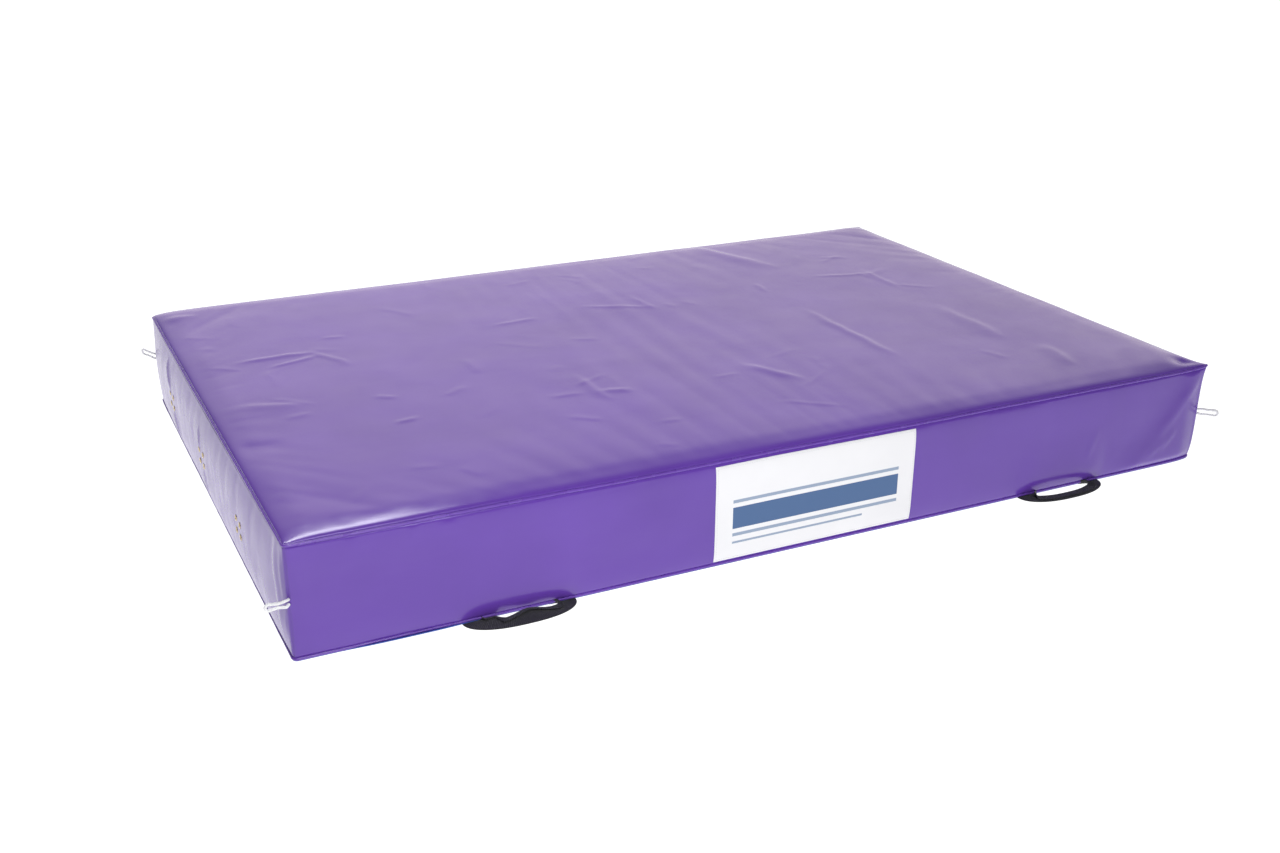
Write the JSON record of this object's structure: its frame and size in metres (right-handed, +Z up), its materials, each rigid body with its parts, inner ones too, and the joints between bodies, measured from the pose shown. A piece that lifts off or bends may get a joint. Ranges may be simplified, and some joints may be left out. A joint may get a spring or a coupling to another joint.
{
  "type": "crash landing mat",
  "caption": "Thick foam landing mat in a zipped coated-fabric cover with webbing carry handles, corner cord loops and brass vent eyelets.",
  "frame": {"origin": "middle of the mat's underside, on the surface that it lies on", "axes": "+X along the long walls, +Y from the labelled front wall towards the zipped back wall, +Z up towards the landing face"},
  "size_m": [1.904, 1.308, 0.21],
  "materials": {
    "foam": "matte",
    "foam_firm": "matte",
    "cover": "satin",
    "base": "satin",
    "piping": "satin",
    "label": "satin",
    "webbing": "matte",
    "cord": "matte",
    "eyelet": "satin",
    "zip_tape": "matte",
    "zip_coil": "satin",
    "zip_metal": "satin"
  },
  "bodies": {
    "mat": {"foam_core": "foam", "foam_top_layer": "foam_firm", "cover_top": "cover", "cover_base": "base", "cover_wall_front": "cover", "cover_wall_left": "cover", "cover_wall_right": "cover", "cover_wall_back_upper": "cover", "cover_wall_back_lower": "cover", "piping_top": "piping", "piping_bottom": "piping", "label_panel": "label", "handle_ends_front_left": "webbing", "handle_ends_front_right": "webbing", "handle_ends_back_left": "webbing", "handle_ends_back_right": "webbing", "vent_eyelets_left": "eyelet", "vent_eyelets_right": "eyelet", "vent_washers_left": "eyelet", "vent_washers_right": "eyelet", "zip_tape_upper": "zip_tape", "zip_tape_lower": "zip_tape", "zip_row_upper": "zip_coil", "zip_row_lower": "zip_coil", "zip_end_stops": "zip_metal", "zip_end_patches": "cover"},
    "handle_front_left": {"handle_front_left": "webbing"},
    "handle_front_right": {"handle_front_right": "webbing"},
    "handle_back_left": {"handle_back_left": "webbing"},
    "handle_back_right": {"handle_back_right": "webbing"},
    "loop_front_left": {"loop_front_left": "cord"},
    "loop_front_right": {"loop_front_right": "cord"},
    "loop_back_left": {"loop_back_left": "cord"},
    "loop_back_right": {"loop_back_right": "cord"},
    "zip_slider": {"zip_slider": "zip_metal"},
    "zip_pull": {"zip_pull": "zip_metal"}
  },
  "joints": [
    {"name": "handle_front_left_fold", "type": "hinge", "parent": "mat", "child": "handle_front_left", "pos_m": [-0.548, -0.6182, 0.0035], "axis": [-1, 0, 0], "range_deg": [0, 82]},
    {"name": "handle_front_right_fold", "type": "hinge", "parent": "mat", "child": "handle_front_right", "pos_m": [0.568, -0.6182, 0.0035], "axis": [-1, 0, 0], "range_deg": [0, 82]},
    {"name": "handle_back_left_fold", "type": "hinge", "parent": "mat", "child": "handle_back_left", "pos_m": [-0.558, 0.6182, 0.0035], "axis": [1, 0, 0], "range_deg": [0, 82]},
    {"name": "handle_back_right_fold", "type": "hinge", "parent": "mat", "child": "handle_back_right", "pos_m": [0.558, 0.6182, 0.0035], "axis": [1, 0, 0], "range_deg": [0, 82]},
    {"name": "loop_front_left_swing", "type": "hinge", "parent": "mat", "child": "loop_front_left", "pos_m": [-0.918, -0.613, 0.105], "axis": [0, 0, 1], "range_deg": [-80, 160]},
    {"name": "loop_front_right_swing", "type": "hinge", "parent": "mat", "child": "loop_front_right", "pos_m": [0.918, -0.613, 0.105], "axis": [0, 0, 1], "range_deg": [-120, 120]},
    {"name": "loop_back_left_swing", "type": "hinge", "parent": "mat", "child": "loop_back_left", "pos_m": [-0.918, 0.613, 0.105], "axis": [0, 0, 1], "range_deg": [-120, 120]},
    {"name": "loop_back_right_swing", "type": "hinge", "parent": "mat", "child": "loop_back_right", "pos_m": [0.918, 0.613, 0.105], "axis": [0, 0, 1], "range_deg": [-80, 160]},
    {"name": "zip_slide", "type": "slide", "parent": "mat", "child": "zip_slider", "axis": [1, 0, 0], "range_m": [-1.48, 0]},
    {"name": "zip_pull_swing", "type": "hinge", "parent": "zip_slider", "child": "zip_pull", "pos_m": [0.74, 0.6156, 0.1], "axis": [0, 0, 1], "range_deg": [-170, 0]}
  ]
}
